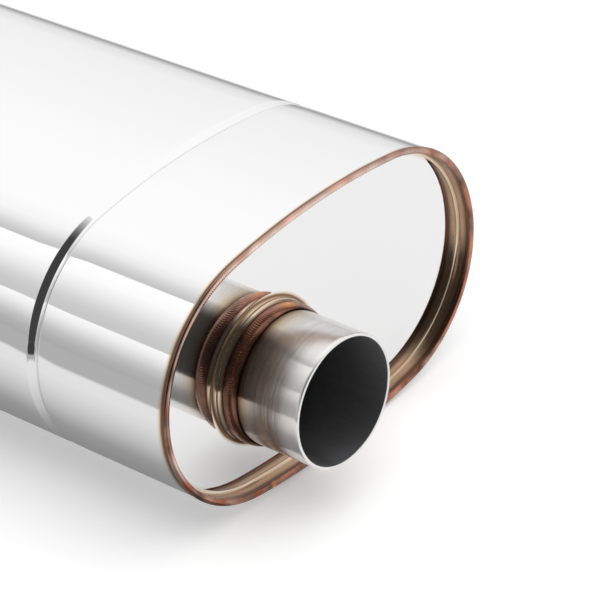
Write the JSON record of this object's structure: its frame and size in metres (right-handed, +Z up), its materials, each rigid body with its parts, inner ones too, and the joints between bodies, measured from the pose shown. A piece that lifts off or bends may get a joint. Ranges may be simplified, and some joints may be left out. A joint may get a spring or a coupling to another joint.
{
  "type": "muffler",
  "caption": "Oval stainless exhaust muffler with polished casing, rolled grooves, recessed welded end caps and offset straight-through stub pipes.",
  "frame": {"origin": "under the middle of the body, on the surface it lies on", "axes": "+X along the body towards the outlet stub, +Y across the oval's long way, away from the stubs, +Z up"},
  "size_m": [0.5, 0.2168, 0.1328],
  "materials": {
    "polished_steel": "mirror-polished stainless sheet",
    "satin_steel": "satin-brushed stainless tube",
    "weld_bead": "TIG weld bead with copper and brown heat tint",
    "plain_steel": "mill-finish stainless",
    "steel_wool": "stainless steel wool",
    "glass_fibre": "glass fibre packing"
  },
  "bodies": {
    "root": {"casing": "polished_steel", "casing_seam_weld": "polished_steel", "outlet_end_cap": "polished_steel", "outlet_rim_weld": "weld_bead", "outlet_pipe": "satin_steel", "outlet_pipe_weld": "weld_bead", "outlet_core_weld": "weld_bead", "outlet_baffle": "plain_steel", "outlet_steel_wool": "steel_wool", "outlet_packing": "glass_fibre", "inlet_end_cap": "polished_steel", "inlet_rim_weld": "weld_bead", "inlet_pipe": "satin_steel", "inlet_pipe_weld": "weld_bead", "inlet_core_weld": "weld_bead", "inlet_baffle": "plain_steel", "inlet_steel_wool": "steel_wool", "inlet_packing": "glass_fibre", "perforated_core": "plain_steel", "middle_steel_wool": "steel_wool", "middle_packing": "glass_fibre"}
  },
  "joints": []
}
